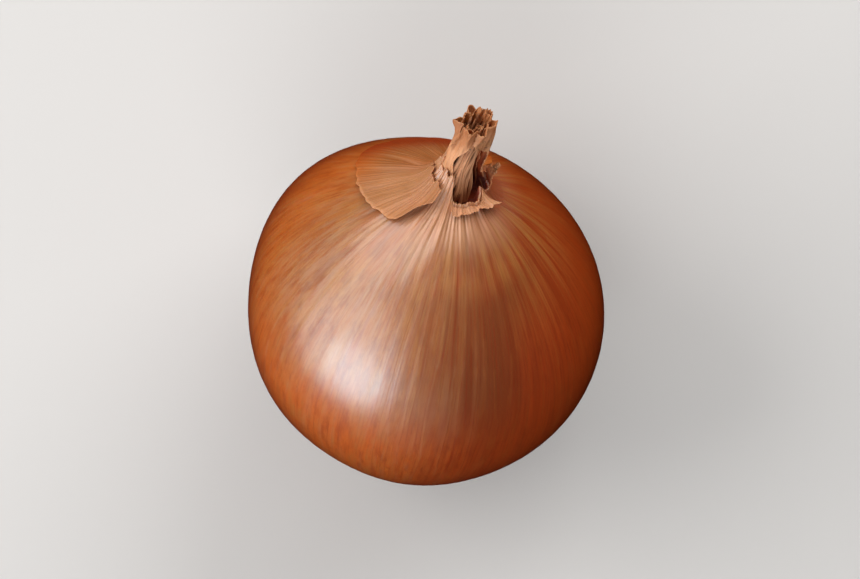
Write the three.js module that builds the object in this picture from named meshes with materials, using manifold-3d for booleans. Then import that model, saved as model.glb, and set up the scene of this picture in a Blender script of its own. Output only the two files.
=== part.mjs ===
// A shallot lying on its side on a table: a round bulb in its tight copper skin, the dried neck where its
// leaves died back, the torn remains of its outer paper scale, and the tuft of dried roots under it.
//
// Millimetres, +Z up. The table is z = 0, and the origin is on it, under the middle of the whole shallot.
// Each piece is shaped upright, with the root pole down the local -Z axis and the neck up the local +Z axis.
// The whole bulb is then leaned over, so that the neck heads along -Y and rises over the table.
// Angles round the bulb run from local +X (0 degrees) through +Y (90, which ends up on top) and -X (180) to
// -Y (270, which ends up underneath).

import * as THREE from "three";
import { mergeVertices } from "three/addons/utils/BufferGeometryUtils.js";
import Module from "manifold-3d";

const wasm = await Module();
wasm.setup();

const degrees = THREE.MathUtils.degToRad;
const { lerp, smoothstep } = THREE.MathUtils;

// ---- Driving dimensions ----------------------------------------------------------------------------------

const BULB_RADIUS = 19;
const BULB_HALF_LENGTH = 17.85;
const AXIS_ELEVATION = degrees(47); // of the neck over the table
const CENTRE_HEIGHT = 17.7; // of the bulb's centre over the table, which leaves a small flat rest spot

const SHOULDER_START = degrees(112); // from the root pole, where the skin starts to rise towards the neck
const SHOULDER_RISE = 2.6;
const NECK_FOOT_RADIUS = 3.1;
const ROOT_FOOT_RADIUS = 4.2;

// The bulb isn't turned: it has two and three shallow lobes round it, and one shoulder is fuller than the rest.
const LOBE_SHARE = 0.006; // of the radius
const FULL_SHOULDER_SHARE = 0.065;
const FULL_SHOULDER_ROUND = degrees(-37);
const FULL_SHOULDER_FROM_NECK = degrees(60);

const NECK_LENGTH = 11.4;
const NECK_SWAY = -0.6; // the neck's tip leans a little aside, towards -X
const STALK_RADIUS = 1.25;
const STALK_PLEATS = 5;
const SHEATH_FOOT_RADIUS = 2.3;
const SHEATH_WAIST_RADIUS = 1.8;
const SHEATH_THICKNESS = 0.45;
const SHEATH_TWIST = degrees(25);

const SIDE_STRIP_LENGTH = 4.2;
const SIDE_STRIP_RADIUS = 3.15; // from the neck's axis
const SIDE_STRIP_SPLAY = 0.7;

const SCALE_THICKNESS = 0.35; // the papery scales, a little thicker here than in life so that they stay solid
const SCALE_TOP = degrees(5); // from the neck pole, where the scales are still bound under the neck
const TORN_EDGE_LIFT = 0.2;
const COLLAR_CURL_LIFT = 0.8;
const GAP = 0.3; // between pieces that touch

const PLATE_RADIUS = 3.9;
const PLATE_THICKNESS = 1.1;
const ROOTLETS = 14;
const ROOTLET_RADIUS = 0.35;
const ROOTLET_LENGTH = 2.2; // of the shortest; the longest are 0.9 more
const ROOTLET_CURL = 1.3; // how far a tip strays aside

const BULB_FACES_ROUND = 60;
const BULB_FACES_ALONG = 30;

// ---- Materials -------------------------------------------------------------------------------------------

const material = (color, roughness) => new THREE.MeshStandardMaterial({ color, roughness, metalness: 0 });

const copperSkin = material(0xb0683a, 0.4);
const dryScale = material(0xc58a58, 0.6);
const dryLeaf = material(0xb98657, 0.8);
const witheredStalk = material(0x8d7358, 0.85);
const dryRoot = material(0xc2a77e, 0.9);

// ---- The bulb's surface ----------------------------------------------------------------------------------

// Radius and height of the skin at a polar angle, which is 0 at the root pole and PI at the neck.
function profileAt(polar) {
  const rise = smoothstep(polar, SHOULDER_START, Math.PI) ** 1.5;
  const footRadius = lerp(ROOT_FOOT_RADIUS, NECK_FOOT_RADIUS, smoothstep(polar, 0, Math.PI));
  const radius = Math.cbrt((BULB_RADIUS * Math.sin(polar)) ** 3 + footRadius ** 3);
  return new THREE.Vector2(radius, SHOULDER_RISE * rise - BULB_HALF_LENGTH * Math.cos(polar));
}

// The direction out of the bulb's centre at an angle round it and a polar angle.
function direction(round, polar) {
  const across = Math.sin(polar);
  return new THREE.Vector3(across * Math.cos(round), across * Math.sin(round), -Math.cos(polar));
}

const FULL_SHOULDER = direction(FULL_SHOULDER_ROUND, Math.PI - FULL_SHOULDER_FROM_NECK);

// How far the bulb departs from a turned shape.
function swellAt(round, polar) {
  const lobes = LOBE_SHARE * (Math.cos(2 * round - 0.6) + Math.cos(3 * round + 1.9));
  const towardsShoulder = Math.max(0, direction(round, polar).dot(FULL_SHOULDER));
  return 1 + lobes * Math.sin(polar) + FULL_SHOULDER_SHARE * towardsShoulder ** 4;
}

// A point at a height above the skin.
function skinPoint(round, polar, lift = 0) {
  const step = degrees(0.5);
  const { x: radius, y: height } = profileAt(polar);
  const before = profileAt(polar - step);
  const after = profileAt(polar + step);
  const normal = new THREE.Vector2(after.y - before.y, before.x - after.x).normalize();
  const out = radius * swellAt(round, polar) + normal.x * lift;
  return new THREE.Vector3(out * Math.cos(round), out * Math.sin(round), height + normal.y * lift);
}

const ROOT_END = profileAt(0).y;
const SHOULDER_TOP = profileAt(Math.PI).y;
const NECK_FOOT = SHOULDER_TOP + GAP;

// ---- Shaping tools ---------------------------------------------------------------------------------------

// Moves every vertex of a geometry to where shape() sends it.
function bend(geometry, shape) {
  const position = geometry.getAttribute("position");
  const point = new THREE.Vector3();
  for (let i = 0; i < position.count; i++) {
    point.copy(shape(point.fromBufferAttribute(position, i)));
    position.setXYZ(i, point.x, point.y, point.z);
  }
  geometry.computeVertexNormals();
  return geometry;
}

// A thin sheet: shape(across, climb, depth) takes each from 0 to 1. across runs round the bulb, climb rises
// towards the neck, and depth 1 is the sheet's outer face.
function sheet(facesAcross, facesUp, shape) {
  const slab = new THREE.BoxGeometry(1, 1, 1, facesAcross, facesUp, 1).translate(0.5, 0.5, 0.5);
  return bend(slab, ({ x, y, z }) => shape(x, y, z));
}

function solidOf(geometry) {
  const bare = geometry.clone();
  bare.deleteAttribute("normal");
  bare.deleteAttribute("uv");
  const merged = mergeVertices(bare, 1e-4);
  return new wasm.Manifold(
    new wasm.Mesh({
      numProp: 3,
      vertProperties: merged.getAttribute("position").array,
      triVerts: new Uint32Array(merged.index.array),
    }),
  );
}

function geometryOf(solid) {
  const { vertProperties, triVerts } = solid.getMesh();
  const geometry = new THREE.BufferGeometry();
  geometry.setAttribute("position", new THREE.BufferAttribute(vertProperties, 3));
  geometry.setIndex(new THREE.BufferAttribute(triVerts, 1));
  geometry.computeVertexNormals();
  return geometry;
}

function piece(name, geometry, finish) {
  const mesh = new THREE.Mesh(geometry, finish);
  mesh.name = name;
  return mesh;
}

// ---- Frames ----------------------------------------------------------------------------------------------

const shallot = new THREE.Group();
const lying = new THREE.Group(); // on the table
const leaning = new THREE.Group(); // about the bulb's centre, with the neck up its own Z axis
leaning.position.z = CENTRE_HEIGHT;
leaning.rotation.x = Math.PI / 2 - AXIS_ELEVATION;
leaning.updateMatrix();
lying.add(leaning);
shallot.add(lying);

// ---- Bulb ------------------------------------------------------------------------------------------------

// The bulb is shaped upright, leaned over, and cut level with the table to give its rest spot.
function bulb() {
  const ball = new THREE.SphereGeometry(1, BULB_FACES_ROUND, BULB_FACES_ALONG).rotateX(Math.PI / 2);
  const upright = bend(ball, (p) => {
    const skin = skinPoint(Math.atan2(p.y, p.x), Math.acos(THREE.MathUtils.clamp(-p.z, -1, 1)));
    const atPole = Math.hypot(p.x, p.y) < 1e-6;
    return atPole ? skin.setX(0).setY(0) : skin;
  });
  const belowTable = new THREE.BoxGeometry(60, 60, 20).translate(0, 0, -10);
  return geometryOf(solidOf(upright.applyMatrix4(leaning.matrix)).subtract(solidOf(belowTable)));
}

// ---- Neck ------------------------------------------------------------------------------------------------

const neckSway = (rise) => NECK_SWAY * (rise / NECK_LENGTH) ** 2;

// A point round the neck's axis.
function neckPoint(radius, round, rise) {
  return new THREE.Vector3(
    radius * Math.cos(round) + neckSway(rise),
    radius * Math.sin(round),
    NECK_FOOT + rise,
  );
}

// The withered middle of the neck: a thin pleated stalk that tapers and slowly twists.
function neckStalk() {
  const tapers = [1.1, 1, 0.85, 0.8, 0.7];
  const top = 0.92 * NECK_LENGTH;
  const outline = tapers.map((taper, i) => new THREE.Vector2(taper * STALK_RADIUS, (top * i) / 4));
  outline.unshift(new THREE.Vector2(0, 0));
  outline.push(new THREE.Vector2(0, 1.03 * top));
  const turned = new THREE.LatheGeometry(outline, 20).rotateX(Math.PI / 2);
  return bend(turned, (p) => {
    const round = Math.atan2(p.y, p.x);
    const pleat = 1 + 0.14 * Math.cos(STALK_PLEATS * round + (SHEATH_TWIST * p.z) / 2);
    return neckPoint(Math.hypot(p.x, p.y) * pleat, round, p.z);
  });
}

// One dried leaf sheath, wrapped part of the way round the stalk: it closes in at its waist and splays above.
function neckSheath({ from, to, height, splay }) {
  return sheet(14, 12, (across, climb, depth) => {
    const round = degrees(lerp(from, to, across)) + SHEATH_TWIST * climb;
    const pleat = 0.1 * Math.sin(6 * Math.PI * across);
    const waist = lerp(SHEATH_FOOT_RADIUS, SHEATH_WAIST_RADIUS, smoothstep(climb, 0, 0.5));
    const ragged = 1 - 0.08 * Math.sin(9 * across) ** 2;
    const radius = waist + splay * smoothstep(climb, 0.5, 1) + pleat + SHEATH_THICKNESS * depth;
    return neckPoint(radius, round, NECK_LENGTH * height * ragged * climb);
  });
}

// A narrow strip of dead leaf that stands beside the neck and narrows to its tip.
function neckSideStrip() {
  const [from, to] = [158, 190];
  return sheet(4, 8, (across, climb, depth) => {
    const round = lerp(lerp(from, to, across), (from + to) / 2, 0.6 * climb);
    const radius = SIDE_STRIP_RADIUS + SIDE_STRIP_SPLAY * smoothstep(climb, 0.2, 1);
    return neckPoint(radius + SCALE_THICKNESS * depth, degrees(round), SIDE_STRIP_LENGTH * climb);
  });
}

// ---- Torn paper scales -----------------------------------------------------------------------------------

// The torn edge of the outer scale: degrees round the bulb against degrees from the neck pole.
const TORN_EDGE = new THREE.SplineCurve([
  new THREE.Vector2(-118, 21),
  new THREE.Vector2(-80, 34),
  new THREE.Vector2(-40, 38),
  new THREE.Vector2(-8, 32),
  new THREE.Vector2(12, 28),
  new THREE.Vector2(32, 24.5),
  new THREE.Vector2(46, 21.8),
  new THREE.Vector2(52.5, 14.8),
  new THREE.Vector2(60, 9.5),
  new THREE.Vector2(66, 7),
]);

// What is left of the outermost scale: it covers the shoulder on one side, and its torn edge stands clear.
function outerScale() {
  return sheet(36, 6, (across, climb, depth) => {
    const { x: round, y: edge } = TORN_EDGE.getPoint(across);
    const fromNeck = lerp(degrees(edge), SCALE_TOP, climb);
    const lift = GAP + TORN_EDGE_LIFT * (1 - climb) ** 2 + SCALE_THICKNESS * depth;
    return skinPoint(degrees(round), Math.PI - fromNeck, lift);
  });
}

// A torn collar round the neck's foot, curled up along its free edge.
function collarCurl() {
  const [from, to] = [92, 186];
  return sheet(14, 6, (across, climb, depth) => {
    const edge = degrees(9 + 3.2 * Math.sin(Math.PI * across));
    const lift = GAP + COLLAR_CURL_LIFT * (1 - climb) ** 2 + SCALE_THICKNESS * depth;
    return skinPoint(degrees(lerp(from, to, across)), Math.PI - lerp(edge, SCALE_TOP, climb), lift);
  });
}

// ---- Roots -----------------------------------------------------------------------------------------------

const GOLDEN_ANGLE = Math.PI * (3 - Math.sqrt(5)); // spreads the rootlets evenly over the plate

// One dried rootlet: it leaves the plate and curls aside. Those that face the table are shorter.
function rootlet(index) {
  const round = index * GOLDEN_ANGLE;
  const start = 0.75 * PLATE_RADIUS * Math.sqrt((index + 0.5) / ROOTLETS);
  const facingTable = Math.max(0, -Math.sin(round));
  const length = (ROOTLET_LENGTH + 0.9 * Math.abs(Math.sin(5 * index))) * (1 - 0.35 * facingTable);
  const aside = round + Math.PI / 2 + 1.2 * Math.sin(3 * index);
  const at = (out, curl, down) => {
    const drift = curl * ROOTLET_CURL;
    const x = out * start * Math.cos(round) + drift * Math.cos(aside);
    const y = out * start * Math.sin(round) + drift * Math.sin(aside);
    return new THREE.Vector3(x, y, -down * length);
  };
  const extrudePath = new THREE.CatmullRomCurve3([
    at(1, 0, 0.1),
    at(1.1, 0, 0.55),
    at(1.1, 0.55, 0.95),
    at(1, 1, 1.1),
  ]);
  const section = new THREE.Shape().absarc(0, 0, ROOTLET_RADIUS, 0, 2 * Math.PI);
  return new THREE.ExtrudeGeometry(section, { steps: 7, curveSegments: 3, bevelEnabled: false, extrudePath });
}

// The corky plate that closes the bulb's base, with the rootlets growing out of it.
function rootTuft() {
  const outline = [
    new THREE.Vector2(0, -PLATE_THICKNESS),
    new THREE.Vector2(0.55 * PLATE_RADIUS, -0.9 * PLATE_THICKNESS),
    new THREE.Vector2(0.9 * PLATE_RADIUS, -0.5 * PLATE_THICKNESS),
    new THREE.Vector2(PLATE_RADIUS, 0),
    new THREE.Vector2(0, 0),
  ];
  let tuft = solidOf(new THREE.LatheGeometry(outline, 24).rotateX(Math.PI / 2));
  for (let i = 0; i < ROOTLETS; i++) tuft = tuft.add(solidOf(rootlet(i)));
  return geometryOf(tuft).translate(0, 0, ROOT_END - GAP);
}

// ---- Assembly --------------------------------------------------------------------------------------------

const leftSheath = { from: -88, to: 62, height: 0.88, splay: 0.15 };
const rightSheath = { from: 80, to: 258, height: 1, splay: 0.25 };

lying.add(piece("bulb", bulb(), copperSkin));
leaning.add(
  piece("neck_stalk", neckStalk(), witheredStalk),
  piece("neck_sheath_left", neckSheath(leftSheath), dryLeaf),
  piece("neck_sheath_right", neckSheath(rightSheath), dryLeaf),
  piece("neck_side_strip", neckSideStrip(), dryLeaf),
  piece("outer_scale", outerScale(), dryScale),
  piece("collar_curl", collarCurl(), dryScale),
  piece("root_tuft", rootTuft(), dryRoot),
);

// The middle of the whole shallot comes over the origin.
const middle = new THREE.Box3().setFromObject(lying, true).getCenter(new THREE.Vector3());
lying.position.set(-middle.x, -middle.y, 0);

export default shallot;
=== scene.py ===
"""A shallot on its side: a round copper bulb, its dried neck, its torn outer scale and its dried roots."""
import math

import bpy
import numpy as np
from mathutils import Matrix, Vector


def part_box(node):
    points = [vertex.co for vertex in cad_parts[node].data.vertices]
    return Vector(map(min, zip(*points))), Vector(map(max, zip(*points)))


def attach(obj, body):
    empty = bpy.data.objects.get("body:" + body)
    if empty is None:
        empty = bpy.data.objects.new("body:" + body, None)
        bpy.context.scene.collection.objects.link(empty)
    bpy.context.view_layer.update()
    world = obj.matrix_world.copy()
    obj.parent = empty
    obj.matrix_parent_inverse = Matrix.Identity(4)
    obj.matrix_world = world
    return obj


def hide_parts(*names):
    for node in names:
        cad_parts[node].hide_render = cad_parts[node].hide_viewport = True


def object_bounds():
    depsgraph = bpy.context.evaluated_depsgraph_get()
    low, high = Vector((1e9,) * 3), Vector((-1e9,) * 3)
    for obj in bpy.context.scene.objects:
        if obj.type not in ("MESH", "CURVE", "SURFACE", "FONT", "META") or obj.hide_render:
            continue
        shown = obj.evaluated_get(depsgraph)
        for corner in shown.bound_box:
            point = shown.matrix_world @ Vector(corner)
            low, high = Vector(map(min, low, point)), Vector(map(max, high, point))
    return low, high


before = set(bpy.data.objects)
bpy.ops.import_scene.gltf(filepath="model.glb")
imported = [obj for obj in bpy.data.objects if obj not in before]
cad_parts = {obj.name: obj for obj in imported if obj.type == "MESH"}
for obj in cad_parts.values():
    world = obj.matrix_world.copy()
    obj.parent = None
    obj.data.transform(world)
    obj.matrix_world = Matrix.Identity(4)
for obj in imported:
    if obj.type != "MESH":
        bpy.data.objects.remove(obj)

cad_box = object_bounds()

# ---- Driving dimensions, in millimetres ----
# They repeat the CAD model's. Each piece is shaped upright, with its axis up Z and the bulb's centre at the
# origin. Angles round it run from +X through +Y, which ends up on top, and -X to -Y, which ends up below.

MM = 0.001  # in metres

BULB_RADIUS = 19.0
BULB_HALF_LENGTH = 17.85
AXIS_ELEVATION = math.radians(47)  # of the neck over the table
CENTRE_HEIGHT = 17.7  # of the bulb's centre over the table, which leaves a small flat rest spot

SHOULDER_START = math.radians(112)  # from the root pole, where the skin starts to rise to the neck
SHOULDER_RISE = 2.6
SHOULDER_TOP = BULB_HALF_LENGTH + SHOULDER_RISE
NECK_FOOT_RADIUS = 3.1
ROOT_FOOT_RADIUS = 4.2
ROOT_END = -BULB_HALF_LENGTH

LOBE_SHARE = 0.006  # of the radius, for two and three shallow lobes round the bulb
FULL_SHOULDER_SHARE = 0.065  # one shoulder is fuller than the rest
FULL_SHOULDER_ROUND = math.radians(-37)
FULL_SHOULDER_FROM_NECK = math.radians(60)

NECK_LENGTH = 11.4
NECK_SWAY = -0.6  # the neck's tip leans a little aside, towards -X

# The torn edge of the outer scale: degrees round the bulb against degrees from the neck pole.
TORN_EDGE = [
    (-118, 21), (-80, 34), (-40, 38), (-8, 32), (12, 28),
    (32, 24.5), (46, 21.8), (52.5, 14.8), (60, 9.5), (66, 7),
]

TAU = 2 * math.pi
GOLDEN_ANGLE = 2.39996  # between neighbours that fill a disc evenly


# ---- Small numeric tools ----

def lerp(low, high, share):
    return low + (high - low) * share


def smoothstep(value, low, high):
    share = np.clip((value - low) / (high - low), 0, 1)
    return share * share * (3 - 2 * share)


def vectors(x, y, z):
    """Numbers or arrays as one array, whose last axis is X, Y, Z."""
    return np.stack(np.broadcast_arrays(x, y, z), axis=-1)


class Ripple:
    """Smooth noise in two directions that closes on itself in the first, which is an angle.

    lowest and highest are how many waves go round, and drift is how far they wander along the second."""

    def __init__(self, seed, lowest, highest, drift=1.0, count=14):
        rng = np.random.default_rng(seed)
        self.turns = rng.integers(lowest, highest + 1, count)
        self.phase = rng.uniform(0, TAU, count)
        self.drift = rng.uniform(-drift, drift, count)
        self.sway = rng.uniform(0.3, 1.0, count)
        self.size = rng.uniform(0.4, 1.0, count)
        self.size /= math.sqrt(0.5 * np.sum(self.size ** 2))

    def __call__(self, angle, along):
        """About -2 to 2. along is in units over which the pattern changes."""
        total = 0
        for turns, phase, drift, sway, size in zip(self.turns, self.phase, self.drift, self.sway, self.size):
            wander = drift * along + 0.6 * np.sin(sway * along + phase)
            total += size * np.cos(turns * angle + phase + wander)
        return total


# ---- The bulb's surface ----

def body_profile(polar):
    """Radius and height of the skin at a polar angle, which is 0 at the root pole and pi at the neck."""
    rise = smoothstep(polar, SHOULDER_START, math.pi) ** 1.5
    foot = lerp(ROOT_FOOT_RADIUS, NECK_FOOT_RADIUS, smoothstep(polar, 0, math.pi))
    radius = np.cbrt((BULB_RADIUS * np.sin(polar)) ** 3 + foot ** 3)
    return radius, SHOULDER_RISE * rise - BULB_HALF_LENGTH * np.cos(polar)


COLLAR_FROM_NECK = math.radians(15)  # where the skin starts to turn up along the neck
COLLAR_BEND = (2.55, SHOULDER_TOP + 0.25)
COLLAR_TOP = (2.05, SHOULDER_TOP + 4.2)
ROOT_HOLLOW = [(0, ROOT_END + 0.5), (2.4, ROOT_END + 0.45), (3.5, ROOT_END + 0.2)]
BODY_POLAR = np.linspace(math.radians(5), math.pi - COLLAR_FROM_NECK, 240)


def full_profile():
    """The skin's outline from the middle of the root end to the top of the collar that hugs the neck."""
    body = list(zip(*body_profile(BODY_POLAR)))
    start, bend, end = (np.array(p) for p in (body[-1], COLLAR_BEND, COLLAR_TOP))
    shares = np.linspace(0, 1, 40)[1:]
    collar = [(1 - t) ** 2 * start + 2 * t * (1 - t) * bend + t ** 2 * end for t in shares]
    return np.array(ROOT_HOLLOW + body + collar)


OUTLINE = full_profile()
OUTLINE_AT = np.concatenate([[0], np.cumsum(np.hypot(*np.diff(OUTLINE, axis=0).T))])
ROOT_AT = OUTLINE_AT[len(ROOT_HOLLOW)]  # how far along the outline the root end's rim lies
COLLAR_AT = OUTLINE_AT[len(ROOT_HOLLOW) + len(BODY_POLAR) - 1]  # where the collar starts
NECK_AT = OUTLINE_AT[-1]  # the collar's top
TORN_REACH = 0.4  # how much of the collar is left where it is torn off at the neck's foot


def along_at(from_neck):
    """How far along the outline a point lies, from its angle at the neck pole.

    On the collar it goes by the radius that the bulb would have there."""
    first, last = len(ROOT_HOLLOW), len(ROOT_HOLLOW) + len(BODY_POLAR)
    on_body = np.interp(math.pi - from_neck, BODY_POLAR, OUTLINE_AT[first:last])
    radius = body_profile(math.pi - from_neck)[0]
    on_collar = np.interp(-radius, -OUTLINE[last - 1:, 0], OUTLINE_AT[last - 1:])
    return np.where(from_neck > COLLAR_FROM_NECK, on_body, on_collar)


def outline_place(along):
    """Radius and height of the outline, as an array whose first axis holds the two."""
    return np.stack([np.interp(along, OUTLINE_AT, OUTLINE[:, axis]) for axis in (0, 1)])


def outline_normal(along):
    """The outward direction there, out from the axis and up it."""
    reach = 0.3
    above = outline_place(np.minimum(along + reach, NECK_AT))
    across, up = above - outline_place(np.maximum(along - reach, 0))
    length = np.maximum(np.hypot(across, up), 1e-9)
    return up / length, -across / length


def swell(angle, height):
    """How far the bulb departs from a turned shape."""
    towards_neck = np.clip(height / BULB_HALF_LENGTH, -1, 1)
    across = np.sqrt(1 - towards_neck ** 2)
    lobes = LOBE_SHARE * (np.cos(2 * angle - 0.6) + np.cos(3 * angle + 1.9))
    shoulder = math.sin(FULL_SHOULDER_FROM_NECK) * across * np.cos(angle - FULL_SHOULDER_ROUND)
    shoulder += math.cos(FULL_SHOULDER_FROM_NECK) * towards_neck
    return 1 + lobes * across + FULL_SHOULDER_SHARE * np.maximum(0, shoulder) ** 4


def collar_reach(angle):
    """How far up its full height the skin's collar reaches: it is torn away on the right of the front."""
    degrees = np.degrees(angle) % 360
    torn = smoothstep(degrees, 76, 92) * (1 - smoothstep(degrees, 200, 225))
    behind = smoothstep(degrees, 200, 240) * (1 - smoothstep(degrees, 290, 330))
    tooth = 0.18 * np.exp(-((degrees - 158) / 7) ** 2)
    ragged = 0.06 * collar_tears(angle, 0) + 0.011 * collar_teeth(angle, 0)
    return lerp(0.86, TORN_REACH, torn) - 0.15 * behind + tooth + ragged * (1 - 0.5 * torn)


collar_tears = Ripple(10, 3, 19)
collar_teeth = Ripple(16, 24, 80, count=24)


def climbed(angle, along):
    """The place on the full outline of a point on the skin, whose collar is torn to its own height."""
    above = np.maximum(along - COLLAR_AT, 0)
    return np.minimum(along, COLLAR_AT) + above * collar_reach(angle)


def place_climbed(angle, place):
    """The reverse of climbed, from a place on the full outline."""
    return np.minimum(place, COLLAR_AT) + np.maximum(place - COLLAR_AT, 0) / collar_reach(angle)


def skin_points(angle, along, lift=0.0):
    """Points at a height above the bare skin's outline."""
    place = climbed(angle, along)
    radius, height = outline_place(place)
    normal_out, normal_up = outline_normal(place)
    out = radius * swell(angle, height) + normal_out * lift
    sway = NECK_SWAY * (np.maximum(height - SHOULDER_TOP, 0) / NECK_LENGTH) ** 2
    return vectors(out * np.cos(angle) + sway, out * np.sin(angle), height + normal_up * lift)


# ---- Placing ----

LEAN = Matrix.Rotation(math.pi / 2 - AXIS_ELEVATION, 3, "X")


def leaned(points):
    """Upright points, leaned over with the bulb."""
    return np.asarray(points) @ np.array(LEAN).T


def bulb_centre():
    """The middle of the CAD model's bulb, less the leaned shape's own middle."""
    steps = 181
    angle, along = np.meshgrid(np.linspace(0, TAU, steps), np.linspace(0, NECK_AT, steps))
    shape = leaned(skin_points(angle, along)).reshape(-1, 3)
    low, high = (np.array(corner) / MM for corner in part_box("bulb"))
    shift = [(low[i] + high[i]) / 2 - (shape[:, i].min() + shape[:, i].max()) / 2 for i in (0, 1)]
    return np.array([*shift, CENTRE_HEIGHT])


CENTRE = bulb_centre()


def placed(points):
    """From upright millimetres to metres in the frame."""
    return (leaned(points) + CENTRE) * MM


def kept_over_table(points, lowest=0.0):
    """Upright points, pressed up to a height over the table where they would lie lower."""
    over_table = leaned(points) + CENTRE
    over_table[..., 2] = np.maximum(over_table[..., 2], lowest)
    return (over_table - CENTRE) @ np.array(LEAN)


# ---- Mesh tools ----

class Form:
    """Upright points, faces and named values for each point, gathered before they become one mesh."""

    def __init__(self):
        self.points = []
        self.faces = []
        self.values = {}
        self.count = 0

    def add(self, points, faces, **values):
        points = np.asarray(points, float).reshape(-1, 3)
        self.points.append(points)
        self.faces.append(np.asarray(faces) + self.count)
        for name, value in values.items():
            self.values.setdefault(name, []).append(np.asarray(value, float).reshape(-1, 3))
        self.count += len(points)

    def mesh(self, name, finish):
        """One smooth object of all that was added, in the frame."""
        data = bpy.data.meshes.new(name)
        points = placed(np.concatenate(self.points))
        faces = [face for block in self.faces for face in block.tolist()]
        data.from_pydata(points.tolist(), [], faces)
        for key, blocks in self.values.items():
            attribute = data.attributes.new(key, "FLOAT_VECTOR", "POINT")
            attribute.data.foreach_set("vector", np.concatenate(blocks).astype(np.float32).ravel())
        data.polygons.foreach_set("use_smooth", np.ones(len(data.polygons), bool))
        data.materials.append(finish)
        data.validate()
        return add_object(name, data)


def grid_faces(rows, columns, closed=False):
    """Quads of a grid stored row by row. A closed grid joins its last column to its first."""
    row = np.arange(rows - 1)[:, None] * columns
    column = np.arange(columns if closed else columns - 1)[None, :]
    after = (column + 1) % columns
    quads = np.stack([row + column, row + after, row + columns + after, row + columns + column], axis=-1)
    return quads.reshape(-1, 4)


def shell_faces(rows, columns):
    """Quads of a sheet with an outer grid, an inner grid stored after it, and the rim between them."""
    outer = grid_faces(rows, columns)
    inner = outer[:, ::-1] + rows * columns
    index = np.arange(rows * columns).reshape(rows, columns)
    loop = np.concatenate([index[0, :-1], index[:-1, -1], index[-1, :0:-1], index[:0:-1, 0]])
    after = np.roll(loop, -1)
    rim = np.stack([after, loop, loop + rows * columns, after + rows * columns], axis=-1)
    return np.concatenate([outer, inner, rim])


def sharpen(piece, first, last):
    """Gives the edges among the points from first up to last a crisp look."""
    ends = np.empty(2 * len(piece.data.edges), np.int32)
    piece.data.edges.foreach_get("vertices", ends)
    crisp = np.all((ends >= first).reshape(-1, 2) & (ends < last).reshape(-1, 2), axis=1)
    piece.data.attributes.new("sharp_edge", "BOOLEAN", "EDGE").data.foreach_set("value", crisp)


def add_object(name, data):
    made = bpy.data.objects.new(name, data)
    bpy.context.scene.collection.objects.link(made)
    return made


def declare(piece, node):
    """Hangs a piece on the root body and hides the CAD node that it stands for."""
    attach(piece, "root")
    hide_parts(node)


# ---- Material tools ----

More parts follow.
